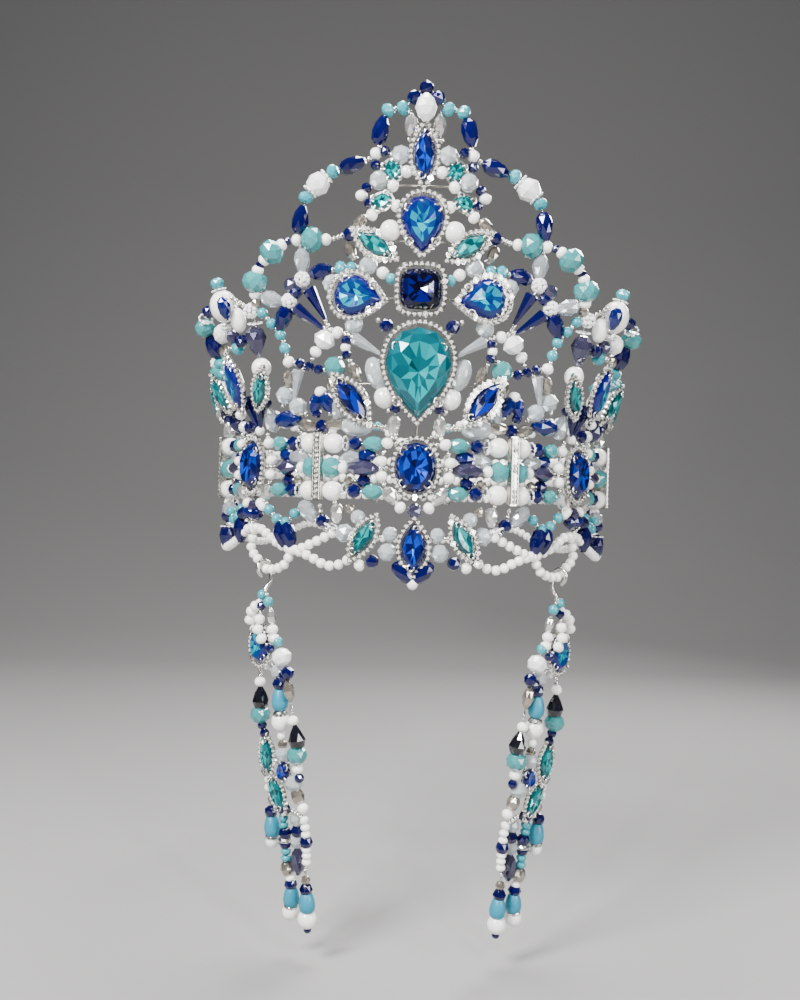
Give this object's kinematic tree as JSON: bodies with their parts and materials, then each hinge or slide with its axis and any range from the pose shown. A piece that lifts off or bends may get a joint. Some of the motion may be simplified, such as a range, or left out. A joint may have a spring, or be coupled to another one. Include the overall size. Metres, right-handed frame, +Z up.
{
  "type": "crown",
  "caption": "Tall beaded crystal crown: jewelled band, pointed front crest of arches and set stones, side towers, bead swags below and hanging side pendants.",
  "frame": {"origin": "centre of the head opening at the middle row of the band, where the crown sits round a head", "axes": "+Z up towards the crest's tip, -Y towards the front, +X towards the right as seen from the front"},
  "size_m": [0.1928, 0.2032, 0.3366],
  "materials": {
    "silver": "bright silver plate",
    "beads": "glossy white, turquoise, navy and clear beads",
    "blue_stone": "foil-backed cut glass, royal blue",
    "teal_stone": "foil-backed cut glass, teal"
  },
  "bodies": {
    "root": {"front_wire": "silver", "pendant_hook_left": "silver", "pendant_hook_right": "silver", "spacer_bar_left_1": "silver", "spacer_bar_left_2": "silver", "spacer_bar_left_3": "silver", "spacer_bar_left_4": "silver", "spacer_bar_right_1": "silver", "spacer_bar_right_2": "silver", "spacer_bar_right_3": "silver", "spacer_bar_right_4": "silver", "band_row_top": "beads", "band_row_middle": "beads", "band_row_bottom": "beads", "crest_arch": "beads", "crest_bead": "beads", "back_scallops": "beads", "rim_swags": "beads", "shoulder_arch_left": "beads", "shoulder_arch_right": "beads", "fan_left": "beads", "fan_right": "beads", "garland_left": "beads", "garland_right": "beads", "crest_cluster_left": "beads", "crest_cluster_right": "beads", "pendant_strands_left": "beads", "pendant_strands_right": "beads", "tower_frame_left_1": "beads", "tower_frame_left_2": "beads", "tower_frame_right_1": "beads", "tower_frame_right_2": "beads", "band_oval_front": "blue_stone", "cushion_stone": "blue_stone", "upper_pear_stone": "blue_stone", "top_marquise_stone": "blue_stone", "brow_marquise_stone": "blue_stone", "side_pear_stone_left": "blue_stone", "side_pear_stone_right": "blue_stone", "navy_leaf_stone_left": "blue_stone", "navy_leaf_stone_right": "blue_stone", "tower_blue_leaf_stone_left": "blue_stone", "tower_blue_leaf_stone_right": "blue_stone", "pendant_oval_left": "blue_stone", "pendant_oval_right": "blue_stone", "band_oval_left_1": "blue_stone", "band_oval_left_2": "blue_stone", "band_oval_left_3": "blue_stone", "band_oval_right_1": "blue_stone", "band_oval_right_2": "blue_stone", "band_oval_right_3": "blue_stone", "main_pear_stone": "teal_stone", "teal_leaf_stone_left": "teal_stone", "teal_leaf_stone_right": "teal_stone", "brow_teal_stone_left": "teal_stone", "brow_teal_stone_right": "teal_stone", "tower_inner_leaf_stone_left": "teal_stone", "tower_inner_leaf_stone_right": "teal_stone", "tower_outer_leaf_stone_left": "teal_stone", "tower_outer_leaf_stone_right": "teal_stone"}
  },
  "joints": []
}
